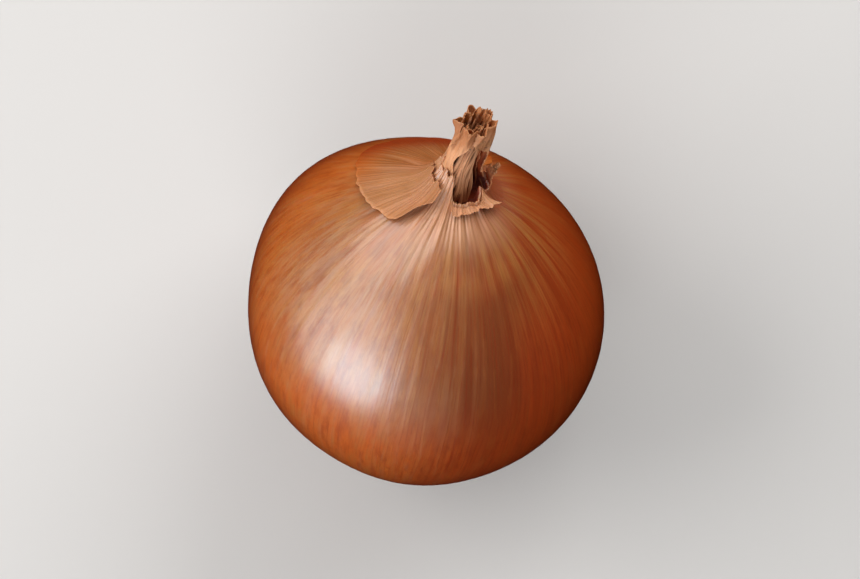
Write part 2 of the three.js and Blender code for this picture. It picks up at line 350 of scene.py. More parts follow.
class Look:
    """A material's node tree, with short names for the nodes that every finish uses.

    grain is where each point lies in the patterns, and numbers are the three that each point carries."""

    def __init__(self, name):
        self.material = bpy.data.materials.new(name)
        self.material.use_nodes = True
        self.tree = self.material.node_tree
        self.tree.nodes.clear()
        self.surface = self.node("BsdfPrincipled")
        output = self.node("OutputMaterial")
        self.tree.links.new(self.surface.outputs[0], output.inputs["Surface"])
        self.grain = self.attribute("grain")
        self.numbers = self.split(self.attribute("skin"))

    def node(self, kind, **settings):
        made = self.tree.nodes.new("ShaderNode" + kind)
        for name, value in settings.items():
            setattr(made, name, value)
        return made

    def feed(self, socket, value):
        if isinstance(value, bpy.types.NodeSocket):
            self.tree.links.new(value, socket)
        else:
            socket.default_value = value

    def fill(self, made, **values):
        """Feeds a node's sockets, whose names have _ for each space here."""
        for name, value in values.items():
            self.feed(made.inputs[name.replace("_", " ")], value)
        return made.outputs[0]

    def attribute(self, name):
        return self.node("Attribute", attribute_name=name).outputs["Vector"]

    def split(self, vector):
        made = self.node("SeparateXYZ")
        self.feed(made.inputs[0], vector)
        return made.outputs

    def math(self, operation, *values):
        made = self.node("Math", operation=operation)
        for socket, value in zip(made.inputs, values):
            self.feed(socket, value)
        return made.outputs[0]

    def product(self, first, *others):
        for other in others:
            first = self.math("MULTIPLY", first, other)
        return first

    def rest(self, share):
        """What a share leaves of 1."""
        return self.math("SUBTRACT", 1.0, share)

    def scaled(self, value, factor, offset):
        return self.math("MULTIPLY_ADD", value, factor, offset)

    def noise(self, scale, detail=3, roughness=0.55):
        """Smooth noise from 0 to 1. The last of the three numbers in scale is the one along the piece."""
        stretched = self.node("VectorMath", operation="MULTIPLY")
        self.feed(stretched.inputs[0], self.grain)
        self.feed(stretched.inputs[1], scale)
        made = self.node("TexNoise")
        return self.fill(made, Vector=stretched.outputs[0], Scale=1, Detail=detail, Roughness=roughness)

    def veins(self, count, wander, sharpness=2.5):
        """Lines up the grain, from 0 between them to 1 along them, as many as count all round."""
        across, around, _ = self.split(self.grain)
        angle = self.math("ARCTAN2", around, across)
        drift = self.noise((9, 9, 0.8), detail=2)
        phase = self.scaled(angle, count, self.product(drift, wander))
        wave = self.scaled(self.math("COSINE", phase), 0.5, 0.5)
        return self.math("POWER", wave, sharpness)

    def height(self):
        """Millimetres over the table."""
        place = self.node("TexCoord").outputs["Object"]
        return self.math("DIVIDE", self.split(place)[2], MM)

    def remap(self, value, low, high, out_low=0.0, out_high=1.0, kind="LINEAR"):
        """out_low where value is low, out_high where it is high, and no further."""
        made = self.node("MapRange", interpolation_type=kind)
        for socket, number in zip(made.inputs, (value, low, high, out_low, out_high)):
            self.feed(socket, number)
        return made.outputs[0]

    def ease(self, value, start, full, share=1.0):
        """A smooth climb from 0 where value is start to share where it is full."""
        return self.remap(value, start, full, 0.0, share, "SMOOTHSTEP")

    def blend(self, share, first, second):
        """A number between two others, as share goes from 0 to 1."""
        return self.scaled(share, self.math("SUBTRACT", second, first), first)

    def mix(self, share, first, second):
        """A colour between two others, as share goes from 0 to 1."""
        made = self.node("Mix", data_type="RGBA")
        self.feed(made.inputs[0], share)
        for socket, colour in zip(made.inputs[6:8], (first, second)):
            self.feed(socket, colour if isinstance(colour, bpy.types.NodeSocket) else (*colour, 1.0))
        return made.outputs[2]

    def layered(self, colour, *layers):
        """A colour with others laid over it in turn, each with its share from 0 to 1 before it."""
        for share, layer in layers:
            colour = self.mix(share, colour, layer)
        return colour

    def tinted(self, colour, *tints):
        """The same, where each share comes from a value: it climbs from 0 at start to share at full."""
        for value, start, full, share, tint in tints:
            colour = self.mix(self.remap(value, start, full, 0.0, share), colour, tint)
        return colour

    def bump(self, height, distance):
        """Relief. distance is in millimetres."""
        return self.fill(self.node("Bump"), Height=height, Distance=distance * MM)

    def set(self, **values):
        self.fill(self.surface, **values)


# ---- Finishes ----

# Colours are linear.
GOLDEN = (0.42, 0.165, 0.036)
COPPER = (0.36, 0.098, 0.016)
DULL_COPPER = (0.29, 0.07, 0.012)
RED_COPPER = (0.43, 0.05, 0.004)
BARE_RED = (0.28, 0.031, 0.003)
# painted shade: under the bulb, at the torn neck's foot and on the leaves' inner faces
DEEP_SHADE_RED = (0.28, 0.03, 0.002)
HOLLOW_SHADE_RED = (0.22, 0.022, 0.003)
FLANK_RED = (0.4, 0.052, 0.004)
FLANK_GOLD = (0.52, 0.116, 0.011)
FOOT_RED = (0.56, 0.108, 0.009)
RUSSET = (0.24, 0.025, 0.0025)
UMBER = (0.2, 0.046, 0.011)
DARK_VEIN = (0.1, 0.013, 0.002)
PALE_FILM = (0.43, 0.275, 0.178)
SCALE_TAN = (0.37, 0.152, 0.06)
SCALE_GOLD = (0.345, 0.135, 0.031)
BLUSH = (0.76, 0.335, 0.175)
STRAW = (0.66, 0.32, 0.16)
TAN = (0.46, 0.19, 0.075)
LEAF_TAN = (0.64, 0.27, 0.12)
LEAF_STRAW = (0.76, 0.38, 0.2)
LEAF_SHADE = (0.5, 0.19, 0.07)
RUST = (0.27, 0.085, 0.024)
BARK = (0.15, 0.05, 0.016)
GREY_BROWN = (0.74, 0.36, 0.19)
PALE_ROOT = (0.66, 0.5, 0.31)


def skin_finish():
    """The tight copper skin: veins along the bulb, a paler film on one side and a dry, soft gloss."""
    look = Look("copper_skin")
    film_edge, from_collar, from_root = look.numbers

    veins = look.veins(84, 20, sharpness=6)
    hair_veins = look.veins(211, 28, sharpness=5)
    broad = look.noise((5, 5, 1.6))
    long_bands = look.noise((12, 12, 0.8), detail=2, roughness=0.6)
    short_bands = look.noise((9, 9, 3.2), detail=4, roughness=0.62)
    long_streaks = look.noise((26, 26, 1.4), roughness=0.6)
    short_streaks = look.noise((24, 24, 5.5), detail=4, roughness=0.65)
    fine = look.noise((90, 90, 9), roughness=0.6)
    patches = look.noise((2, 2, 1.6))
    fading = look.noise((13, 13, 7))
    specks = look.noise((75, 75, 40), detail=2)
    mottles = look.noise((15, 15, 6), detail=4, roughness=0.65)

    # The film: its edge is ragged along the streaks, which are shorter and more broken under it.
    ragged = look.scaled(long_streaks, 14, look.math("SUBTRACT", film_edge, 7))
    film = look.ease(ragged, -7, 7)
    broken = look.product(film, 0.85)
    bands = look.blend(broken, long_bands, short_bands)
    streaks = look.blend(broken, long_streaks, short_streaks)
    streak_depth = look.scaled(film, -0.55, 1)

    # The bare skin, golden in stripes towards the neck and brown beside the film.
    neckwards = look.ease(from_collar, 17, 4)
    stripes = look.product(neckwards, look.remap(bands, 0.42, 0.58, 0.1, 0.85))
    beside_film = look.ease(film_edge, -13, -6, 0.9)
    beside_film = look.product(beside_film, look.ease(from_collar, 4.4, 9))
    bare = look.tinted(BARE_RED, (bands, 0.36, 0.62, 1, RED_COPPER))
    bare = look.layered(bare, (stripes, GOLDEN), (beside_film, UMBER))

    # The film over it, mottled and streaked.
    filmed = look.tinted(COPPER, (bands, 0.36, 0.6, 1, GOLDEN))
    colour = look.mix(film, bare, filmed)
    colour = look.tinted(colour, (patches, 0.52, 0.72, 0.4, UMBER))
    mottled = look.product(film, look.remap(mottles, 0.46, 0.64, 0, 0.55))
    dark_streaks = look.product(streak_depth, look.remap(streaks, 0.52, 0.74, 0, 0.35))
    pale = look.product(film, look.remap(broad, 0.6, 0.36, 0.15, 0.5), look.remap(streaks, 0.62, 0.34))
    colour = look.layered(colour, (mottled, UMBER), (dark_streaks, RUSSET), (pale, PALE_FILM))

    # The flank: redder and darker low down over the table, which is painted shade, and redder towards the
    # root, with russet streaks and golden flecks.
    rootwards = look.ease(from_root, 33, 22)
    flank = look.math("MAXIMUM", look.ease(look.height(), 33, 23.5), rootwards)
    shade_and_rootward_red = look.product(flank, look.remap(bands, 0.66, 0.36, 0.7, 1))
    filmed_flank = look.mix(rootwards, FLANK_GOLD, FOOT_RED)
    flank_streaks = look.product(flank, look.remap(short_streaks, 0.5, 0.68, 0, 0.45))
    golden_flecks = look.product(flank, film, look.remap(short_streaks, 0.48, 0.32, 0, 0.4))
    # Painted shade under the bulb: deep red low over the table, weaker on the film near its edge.
    less_underside_shade = look.product(film, look.ease(film_edge, 16, 8, 0.8))
    painted_underside_shade = look.product(look.ease(look.height(), 26.5, 17, 0.85), look.rest(less_underside_shade))
    colour = look.layered(
        colour,
        (shade_and_rootward_red, look.mix(film, FLANK_RED, filmed_flank)),
        (flank_streaks, RUSSET),
        (golden_flecks, GOLDEN),
        (painted_underside_shade, DEEP_SHADE_RED),
    )

    # Veins and specks.
    colour = look.tinted(colour, (fine, 0.52, 0.8, 0.25, DARK_VEIN))
    light_veins = look.product(veins, look.remap(fading, 0.42, 0.65, 0.02, 0.3), streak_depth)
    dark_veins = look.product(hair_veins, look.remap(fading, 0.62, 0.38, 0.1, 0.6), streak_depth)
    light = look.mix(film, COPPER, PALE_FILM)
    colour = look.layered(colour, (light_veins, light), (dark_veins, RUSSET))
    colour = look.tinted(colour, (specks, 0.7, 0.78, 0.5, UMBER))

    # Dark streaks at the root, painted shade on the bare skin at the neck's foot, dry creases at the neck,
    # and painted shade on the skin's inside and in the root end's hollow.
    at_root = look.product(look.ease(from_root, 9, 0, 0.55), look.remap(streaks, 0.4, 0.6))
    # painted shade on the bare skin at the neck's foot, where the collar is torn
    shaded_bare_foot = look.product(look.ease(from_collar, 0.8, -1, 0.85), look.rest(film))
    at_neck = look.ease(from_collar, 4, -1.2, 0.85)
    dryness = look.product(at_neck, look.scaled(film, 0.85, 0.15))
    dry = look.tinted(STRAW, (streaks, 0.42, 0.62, 1, TAN))
    creases = look.product(at_neck, hair_veins, 0.5)
    collar_top = COLLAR_AT - NECK_AT
    rim = look.remap(from_collar, collar_top + 0.6, collar_top, 0, 0.45)
    # painted shade: dark red on the skin's inside and in the hollow at the root end
    inside = look.remap(from_root, 0, -2, 0, 0.92)
    colour = look.layered(
        colour,
        (at_root, DARK_VEIN),
        (shaded_bare_foot, DEEP_SHADE_RED),
        (dryness, dry),
        (creases, RUST),
        (rim, STRAW),
        (inside, HOLLOW_SHADE_RED),
    )

    roughness = look.scaled(streaks, 0.1, 0.31)
    roughness = look.math("ADD", roughness, look.product(at_neck, 0.2))
    roughness = look.math("ADD", roughness, look.product(inside, 0.3))
    relief = look.scaled(fine, 0.25, look.product(streaks, 0.35))
    relief = look.scaled(veins, 0.14, relief)
    look.set(Base_Color=colour, Roughness=roughness, Normal=look.bump(relief, 0.03))
    look.set(Subsurface_Weight=0.1, Subsurface_Scale=0.002, Subsurface_Radius=(1, 0.3, 0.08))
    look.set(IOR=1.6, Specular_IOR_Level=1, Coat_Weight=0.9, Coat_Roughness=0.24, Coat_IOR=1.5)
    return look.material


def scale_finish():
    """Papery scale: dull golden tan with fine veins, and a pale broken edge."""
    look = Look("dry_scale")
    torn_edge, paleness, in_front = look.numbers
    veins = look.veins(124, 20)
    streaks = look.noise((30, 30, 1.8), roughness=0.6)
    fine = look.noise((100, 100, 6), roughness=0.6)
    patches = look.noise((3, 3, 3), detail=2)
    colour = look.tinted(
        SCALE_TAN,
        (patches, 0.35, 0.65, 1, SCALE_GOLD),
        (in_front, 0.6, 0, 0.7, DULL_COPPER),
        (streaks, 0.5, 0.7, 0.45, COPPER),
        (streaks, 0.45, 0.28, 0.25, STRAW),
        (fine, 0.5, 0.8, 0.35, BARK),
    )
    rim = look.product(in_front, look.remap(torn_edge, 0.35, 0, 0, 0.6))
    bleached = look.product(paleness, look.remap(streaks, 0.66, 0.38, 0.25, 0.95))
    faded = look.product(look.rest(in_front), look.remap(torn_edge, 3.6, 0, 0, 0.9))
    colour = look.layered(
        colour,
        (look.product(veins, 0.25), STRAW),
        (rim, STRAW),
        (bleached, BLUSH),
        (faded, FLANK_GOLD),
        # russet low down over the table: painted shade
        (look.ease(look.height(), 28.1, 23.4, 0.92), RUSSET),
    )
    relief = look.scaled(fine, 0.4, look.scaled(veins, 0.5, streaks))
    look.set(Base_Color=colour, Roughness=0.5, IOR=1.45, Normal=look.bump(relief, 0.07))
    look.set(Subsurface_Weight=0.12, Subsurface_Scale=0.001, Subsurface_Radius=(1, 0.4, 0.15))
    return look.material


def leaf_finish():
    """Dead leaf round the neck: straw and brown fibres that run up it, browner where they broke off."""
    look = Look("dry_leaf")
    edge, height, inside = look.numbers
    strands = look.noise((34, 34, 2.2), roughness=0.6)
    fine = look.noise((110, 110, 7), roughness=0.65)
    patches = look.noise((9, 9, 5))
    colour = look.tinted(
        LEAF_TAN,
        (patches, 0.36, 0.6, 0.8, LEAF_STRAW),
        (height, 0.58, 1, 0.8, RUST),
        (strands, 0.5, 0.7, 0.5, RUST),
        (fine, 0.54, 0.78, 0.4, BARK),
        (edge, 0.2, 0, 0.4, STRAW),
    )
    # Painted shade on the leaves' inner faces: deep red low in the neck, brown higher up.
    shade = look.mix(look.remap(height, 0.35, 0.75), DEEP_SHADE_RED, LEAF_SHADE)
    colour = look.mix(look.product(inside, 0.85), colour, shade)
    relief = look.scaled(fine, 0.5, strands)
    look.set(Base_Color=colour, Roughness=0.62, IOR=1.45, Normal=look.bump(relief, 0.12))
    look.set(Subsurface_Weight=0.12, Subsurface_Scale=0.0008, Subsurface_Radius=(1, 0.45, 0.2))
    return look.material


def stalk_finish():
    """The withered stalk: grey-brown fibres, rustier at their broken tops."""
    look = Look("withered_stalk")
    _, _, rise = look.numbers
    strands = look.noise((40, 40, 2.5), roughness=0.65)
    fine = look.noise((120, 120, 9), detail=2)
    colour = look.tinted(
        BARK,
        (strands, 0.36, 0.54, 1, GREY_BROWN),
        (fine, 0.52, 0.72, 0.6, STRAW),
        (rise, 7, 10, 0.6, RUST),
        # dark copper at the foot, where it sinks into the collar: painted shade
        (rise, 3.4, 1.2, 0.65, COPPER),
    )
    relief = look.scaled(fine, 0.5, strands)
    look.set(Base_Color=colour, Roughness=0.8, IOR=1.4, Normal=look.bump(relief, 0.12))
    return look.material


def root_finish():
    """Dried roots: pale straw, browner where they leave the plate."""
    look = Look("dry_root")
    gone, _, _ = look.numbers
    blotches = look.noise((9, 9, 9))
    fine = look.noise((60, 60, 30))
    colour = look.tinted(
        TAN,
        (blotches, 0.4, 0.62, 1, PALE_ROOT),
        (fine, 0.55, 0.75, 0.6, BARK),
        (gone, 0.7, 0, 0.8, BARK),
    )
    look.set(Base_Color=colour, Roughness=0.8, IOR=1.4, Normal=look.bump(fine, 0.08))
    look.set(Subsurface_Weight=0.1, Subsurface_Scale=0.0005, Subsurface_Radius=(1, 0.6, 0.35))
    return look.material


# ---- Bulb ----

undulation = Ripple(11, 2, 7, drift=0.5)
neck_folds = Ripple(12, 13, 34, drift=0.6, count=18)
neck_creases = Ripple(17, 40, 95, drift=0.5, count=20)
root_folds = Ripple(13, 18, 42, drift=0.5)
vein_drift = Ripple(14, 5, 40, drift=0.7, count=24)
edge_wander = Ripple(15, 0, 0, count=5)

VEINS = 62  # the stouter veins that run from the root end to the neck

FILM_FROM = math.radians(-100)  # how far round the paler film reaches, each way
FILM_TO = math.radians(92)
FILM_MORE_AT_NECK = math.radians(40)  # how much further round it reaches by the neck


def film_distance(angle, along):
    """Millimetres inside the edge of the paler film, which clings to one side. Outside it's negative."""
    radius = np.maximum(outline_place(along)[0], 8)
    wander = 0.1 * edge_wander(0, along / 6)
    film_to = FILM_TO + FILM_MORE_AT_NECK * smoothstep(COLLAR_AT - along, 9, 1)
    middle = (FILM_FROM + film_to) / 2
    half = (film_to - FILM_FROM) / 2
    off = np.abs((angle - middle + math.pi) % TAU - math.pi)
    return (half + wander - off) * radius


def gathers(angle, along):
    """Folds where the skin gathers into the neck. They run on up the collar, shallower where it is torn."""
    to_collar = np.maximum(COLLAR_AT - along, 0)
    depth = 0.085 * np.exp(-to_collar / 2.4) * lerp(0.1, 1, collar_reach(angle))
    return depth * neck_folds(angle, np.minimum(along, COLLAR_AT) / 5 + (along - COLLAR_AT) / 9)


def skin_relief(angle, along):
    """Height of the skin over its outline: soft swells, folds at both ends and fine veins."""
    to_collar = COLLAR_AT - along
    from_root = along - ROOT_AT
    soft = 0.06 * undulation(angle, along / 9) * smoothstep(to_collar, -2, 6) * smoothstep(from_root, 0, 6)
    at_root = 0.07 * root_folds(angle, along / 5) * np.exp(-np.maximum(from_root, 0) / 3.0)
    vein = np.cos(VEINS * angle + 0.9 * vein_drift(angle, along / 9))
    fine = 0.006 * vein * smoothstep(to_collar, -1, 5) * smoothstep(from_root, 0, 5)
    fine += 0.019 * neck_creases(angle, along / 8) * np.exp(-np.maximum(to_collar, 0) / 2.6)
    return (soft + gathers(angle, along) + at_root + fine) * smoothstep(along, 1.0, ROOT_AT + 0.5)


def skin_values(angle, along, first):
    """What the finishes read: each point's place in the grain, and three numbers, which are the one given
    and the distances over the skin from the collar and from the root end."""
    turned = angle + 0.02 * undulation(angle, along / 12)
    grain = vectors(np.cos(turned), np.sin(turned), along / BULB_RADIUS)
    return dict(grain=grain, skin=vectors(first, COLLAR_AT - along, along - ROOT_AT))


# The collar's inside, from its rim down to its floor: shares of the rim's radius, and depths.
INSIDE_RADII = np.array([0.95, 0.93, 0.92, 0.91, 0.9, 0.88, 0.5, 0.02])
INSIDE_DEPTHS = np.array([0.0, 0.15, 0.45, 0.9, 1.5, 2.2, 2.8, 2.9])
INSIDE_FLOOR = SHOULDER_TOP - 1.2
INSIDE_SKIN = (-20, 30, -3)  # its three numbers give it the painted shade of the hollow at the root end


def make_bulb(finish):
    """The skin, from the hollow at the root end to the collar's torn top, and down inside the collar."""
    rounds, rings, inner_rings = 600, 156, len(INSIDE_RADII)
    angle, along = np.meshgrid(np.arange(rounds) * TAU / rounds, np.linspace(0, NECK_AT, rings))
    outside = kept_over_table(skin_points(angle, along, skin_relief(angle, along)))
    rim = outside[-1]
    inside = np.repeat(rim[None], inner_rings, axis=0)
    inside[..., :2] *= INSIDE_RADII[:, None, None]
    inside[..., 2] -= INSIDE_DEPTHS[:, None] * (rim[:, 2] - INSIDE_FLOOR) / INSIDE_DEPTHS[-1]
    points = np.concatenate([outside, inside])
    angle = np.concatenate([angle, np.repeat(angle[:1], inner_rings, axis=0)])
    along = np.concatenate([along, np.full((inner_rings, rounds), NECK_AT)])
    form = Form()
    faces = grid_faces(rings + inner_rings, rounds, closed=True)
    values = skin_values(angle, along, film_distance(angle, along))
    values["skin"][rings + 1:] = INSIDE_SKIN
    form.add(points, faces, **values)
    skin = form.mesh("shallot_bulb", finish)
    sharpen(skin, (rings - 1) * rounds, rings * rounds)
    declare(skin, "bulb")


# ---- Torn paper scales ----

def curve_through(knots, share):
    """A smooth curve through points that are evenly spaced in share, which runs from 0 to 1."""
    knots = np.asarray(knots, float)
    knots = np.concatenate([[2 * knots[0] - knots[1]], knots, [2 * knots[-1] - knots[-2]]])
    place = np.clip(share, 0, 1) * (len(knots) - 3)
    index = np.minimum(place.astype(int), len(knots) - 4)
    t = (place - index)[..., None]
    a, b, c, d = (knots[index + i] for i in range(4))
    squared = (2 * a - 5 * b + 4 * c - d) * t ** 2
    cubed = (3 * b - a - 3 * c + d) * t ** 3
    return 0.5 * (2 * b + (c - a) * t + squared + cubed)


def add_shell(form, outer, inner, grain, skin):
    """A thin sheet. skin holds the values for its outer face, then those for its inner face."""
    form.add([outer, inner], shell_faces(*outer.shape[:2]), grain=[grain] * 2, skin=skin)


PAPER_THICKNESS = 0.12


def make_scale(name, node, finish, angle, along, lift, values):
    """A piece of paper scale that lies at a height over the skin's outline."""
    outer = skin_points(angle, along, lift + PAPER_THICKNESS)
    inner = skin_points(angle, along, lift)
    form = Form()
    add_shell(form, outer, inner, values["grain"], [values["skin"]] * 2)
    declare(form.mesh(name, finish), node)


scale_waves = Ripple(21, 2, 7, drift=1.5)
torn_teeth = Ripple(22, 8, 60, drift=0.0, count=24)
curl_waves = Ripple(23, 2, 9, drift=2.0)


def make_outer_scale(finish):
    """What is left of the outermost scale: a thin sheet on one shoulder, with its torn edge raised."""
    columns, rows = 420, 90
    across, climb = np.meshgrid(np.linspace(0, 1, columns), np.linspace(0, 1, rows) ** 1.4)
    degrees, from_neck = np.moveaxis(curve_through(TORN_EDGE, across), -1, 0)
    angle = np.radians(degrees)
    in_front = smoothstep(degrees, -26, 4)
    teeth = lerp(0.5, 0.13, in_front) * torn_teeth(math.pi * across, 0)
    edge = along_at(np.radians(from_neck + teeth))
    top = lerp(COLLAR_AT, NECK_AT, lerp(0.2, 0.72, smoothstep(degrees, -115, -60)))
    along = lerp(edge, top, climb)
    from_edge = along - edge
    peel = lerp(0.03, lerp(0.25, 0.95, smoothstep(degrees, 36, 50)), in_front)
    raised = peel * np.exp(-(from_edge / lerp(0.9, 1.9, in_front)) ** 1.4) + lerp(0.03, 0.12, in_front)
    waves = 0.05 * scale_waves(angle * 1.3, along / 4) * np.exp(-from_edge / 5) * in_front
    bridge = 0.34 * np.exp(-np.maximum(COLLAR_AT - along, 0) / 2.6)
    bridging = 0.45 * in_front * (bridge - gathers(angle, along))  # it spans the skin's folds by the neck
    lift = np.maximum(raised + waves, 0.02) + skin_relief(angle, along) + bridging
    side = np.minimum(across, 1 - across) * 20
    edge_distance = np.where(in_front > 0.5, np.minimum(from_edge, side), from_edge)
    values = skin_values(angle, along, edge_distance)
    values["skin"][..., 1] = 0.45 * in_front * smoothstep(along, COLLAR_AT - 8, COLLAR_AT - 1)
    values["skin"][..., 2] = smoothstep(degrees, -30, 12)
    make_scale("torn_outer_scale", "outer_scale", finish, angle, along, lift, values)


CURL_FROM, CURL_TO = 88, 158  # degrees round the neck
CURL_TIP = 8  # how many degrees further its tip reaches
CURL_WIDTHS = [0.15, 0.95, 0.95, 0.75, 0.55, 0.45, 0.55, 0.85, 1.15, 1.3]  # evenly spaced along it


def make_collar_curl(finish):
    """The torn collar at the neck's foot: a narrow lip whose free edge peels up into a point at one end."""
    columns, rows = 180, 50
    across, free = np.meshgrid(np.linspace(0, 1, columns), np.linspace(1, 0, rows))
    angle = np.radians(lerp(CURL_FROM, CURL_TO + CURL_TIP * free, across))
    width = curve_through(np.array(CURL_WIDTHS)[:, None], across)[..., 0]
    width += 0.06 * curl_waves(4 * across, 0) + 0.07 * torn_teeth(2 * across, 0)
    inner_edge = lerp(COLLAR_AT, NECK_AT, collar_reach(angle) - 0.05)
    free_edge = lerp(COLLAR_AT, NECK_AT, TORN_REACH - 0.05) - width
    along = place_climbed(angle, lerp(inner_edge, free_edge, free))
    tip = smoothstep(across, 0.6, 1.0)
    lift = 0.1 + lerp(0.3, 0.45, across) * free ** 1.5 + 0.55 * tip * free ** 2
    lift += (0.05 * curl_waves(3 * angle, along) + 0.03 * torn_teeth(angle, along)) * free
    lift += gathers(angle, along)
    values = skin_values(angle, along, width * (1 - free) * 0.2)
    values["skin"][..., 1:] = 1
    make_scale("collar_curl_flake", "collar_curl", finish, angle, along, lift, values)


# ---- Neck ----

NECK_FOOT = SHOULDER_TOP - 0.9
LEAF_COLUMNS, LEAF_ROWS = 170, 97  # three such leaves stay under 200,000 triangles
LEAF_THICKNESS = 0.1
FOLD_DEPTHS = {3: 0.12, 5: 0.14, 9: 0.1, 14: 0.06, 27: 0.025}  # by how many go round


def neck_points(radius, angle, rise):
    """Points round the neck's axis, which leans aside as it rises."""
    sway = NECK_SWAY * (np.maximum(rise, 0) / NECK_LENGTH) ** 2
    return vectors(radius * np.cos(angle) + sway, radius * np.sin(angle), NECK_FOOT + rise)


def crest(phase):
    """A wave from -0.5 to 1 with narrow ridges and broad valleys."""
    return 1.5 * (0.5 + 0.5 * np.cos(phase)) ** 1.8 - 0.5


class Folds:
    """Ridges that run up a gathered leaf with a slight twist, few and deep or many and shallow."""

    def __init__(self, seed):
        rng = np.random.default_rng(seed)
        self.ridges = [
            (count, depth, rng.uniform(0, TAU), rng.uniform(-0.12, 0.12), rng.uniform(0.3, 0.9))
            for count, depth in FOLD_DEPTHS.items()
        ]

    def __call__(self, angle, rise):
        total = 0
        for count, depth, phase, twist, sway in self.ridges:
            wander = 0.7 * np.sin(sway * rise + phase)
            total += depth * crest(count * (angle + twist * rise) + phase + wander)
        return total


def torn_line(seed, share, knots):
    """How far a torn edge dips, from 0 to 1, along its share of the piece's width."""
    rng = np.random.default_rng(seed)
    place = np.sort(np.concatenate([[0, 1], rng.uniform(0, 1, knots)]))
    return np.interp(share, place, rng.uniform(0, 1, knots + 2) ** 1.5)


def add_leaf(form, seed, starts, ends, height, radii, tear=1.6, curl=0.3, tilt=0.0):
    """One dried leaf round the neck, gathered in folds and torn at its top.

    starts and ends are the degrees of its two side edges at its foot, its waist and its top, and radii are
    its radii there. tear is how deep its top is torn, curl how far its tips bend out, and tilt how much
    lower its top lies at its end edge."""
    across, climb = np.meshgrid(np.linspace(0, 1, LEAF_COLUMNS), np.linspace(0, 1, LEAF_ROWS))
    folds = Folds(seed)
    crinkles = Ripple(seed + 3, 3, 12, drift=9)
    low = smoothstep(climb, 0.0, 0.5)
    high = smoothstep(climb, 0.58, 0.85)
    start, end = (lerp(lerp(foot, waist, low), top, high) for foot, waist, top in (starts, ends))
    start += (2 + 28 * high * (1 - high)) * torn_teeth(3 * climb, 0)
    ragged = 4 * crinkles(2 * climb, 3 * climb)
    angle = np.radians(lerp(start + ragged, end + ragged, across))
    torn = tear * torn_line(seed + 1, across, 8) + 0.35 * torn_line(seed + 2, across, 70)
    torn += tilt * (across - 0.5)
    rise = climb * height - torn * smoothstep(climb, 0.45, 1)
    share = rise / height
    foot, waist, top = radii
    radius = lerp(foot, waist, smoothstep(share, 0, 0.4))
    radius += (top - waist) * smoothstep(share, 0.45, 1) ** 1.3
    radius += folds(angle, rise) * lerp(0.8, 1.2, smoothstep(share, 0, 0.8))
    tip = smoothstep(climb, 0.72, 1.0) ** 2
    bent = curl * tip * (0.4 + 0.6 * crinkles(angle, 0.5))
    radius += 0.04 * crinkles(angle, 2 * climb) + bent
    outer = neck_points(radius + LEAF_THICKNESS, angle, rise)
    inner = neck_points(radius, angle, rise)
    apart = 0.37 * seed  # each leaf reads its own part of the patterns
    grain = vectors(2.2 * angle / BULB_RADIUS, apart, rise / BULB_RADIUS)
    edge = np.minimum(height * (1 - climb), 3 * np.minimum(across, 1 - across))
    skin = [vectors(edge, share, inside) for inside in (0, 1)]
    add_shell(form, outer, inner, grain, skin)


def make_leaves(finish):
    """Two leaves on the left of the neck, three on its right, and the sliver that stands beside it."""
    left = Form()
    add_leaf(left, 31, (-104, -98, -98), (86, 66, 116), 11.6, (2.65, 1.75, 1.6), tilt=-0.4)
    add_leaf(left, 35, (-75, -50, -60), (40, 24, 96), 11.2, (2.2, 1.35, 1.15), curl=0.1)
    declare(left.mesh("neck_leaves_left", finish), "neck_sheath_left")
    right = Form()
    add_leaf(right, 39, (206, 178, 104), (268, 262, 262), 11.8, (2.75, 1.85, 1.7), tilt=0.4)
    add_leaf(right, 43, (220, 192, 130), (300, 296, 296), 12.0, (2.2, 1.35, 1.2), curl=0.1)
    add_leaf(right, 53, (200, 170, 20), (330, 330, 330), 11.0, (1.6, 0.95, 0.7), curl=0.0)
    declare(right.mesh("neck_leaves_right", finish), "neck_sheath_right")
    strip = Form()
    add_leaf(strip, 47, (180, 186, 194), (228, 218, 204), 4.6, (3.1, 3.3, 3.8), tear=1.2, curl=0.1, tilt=2.4)
    declare(strip.mesh("neck_side_sliver", finish), "neck_side_strip")


STALK_FIBRES = 34
STALK_FIBRE_STEPS = 26
STALK_SPREAD = 1.42  # how far from its axis a fibre stands


def make_stalk(finish):
    """The withered middle of the neck: a bundle of twisted fibres, frayed at the top."""
    rng = np.random.default_rng(50)
    form = Form()
    steps = np.linspace(0, 1, STALK_FIBRE_STEPS)
    for fibre in range(STALK_FIBRES):
        ring = math.sqrt((fibre + 0.5) / STALK_FIBRES)
        rise = NECK_LENGTH * rng.uniform(0.72, 0.97) * steps
        reach = STALK_SPREAD * ring * lerp(1.25, 0.8, smoothstep(steps, 0, 0.55))
        reach = reach * (1 + 0.08 * np.sin(9 * steps + fibre))
        angle = fibre * GOLDEN_ANGLE + 0.9 * steps + 0.15 * np.sin(6 * steps + fibre)
        path = neck_points(reach, angle, rise)
        path[:, :2] += np.outer(1 - smoothstep(rise, 3, 8), (0.12, 0.45))  # its foot stands a little aside
        fray = smoothstep(steps, 0.75, 1)[:, None] * rng.normal(0, 0.25, 3)
        thick = rng.uniform(0.2, 0.36) * (1 - 0.5 * steps ** 2)
        add_tube(form, path + fray, thick, 0.61 * fibre, rise)
    declare(form.mesh("withered_stalk_fibres", finish), "neck_stalk")


TUBE_SIDES = 7
TUBE_FLATNESS = 0.75  # its narrower width over its wider one
TUBE_HELPER = np.array([0.31, 0.83, 0.46])  # no tube runs along it


def unit(rows):
    return rows / np.maximum(np.linalg.norm(rows, axis=1, keepdims=True), 1e-9)


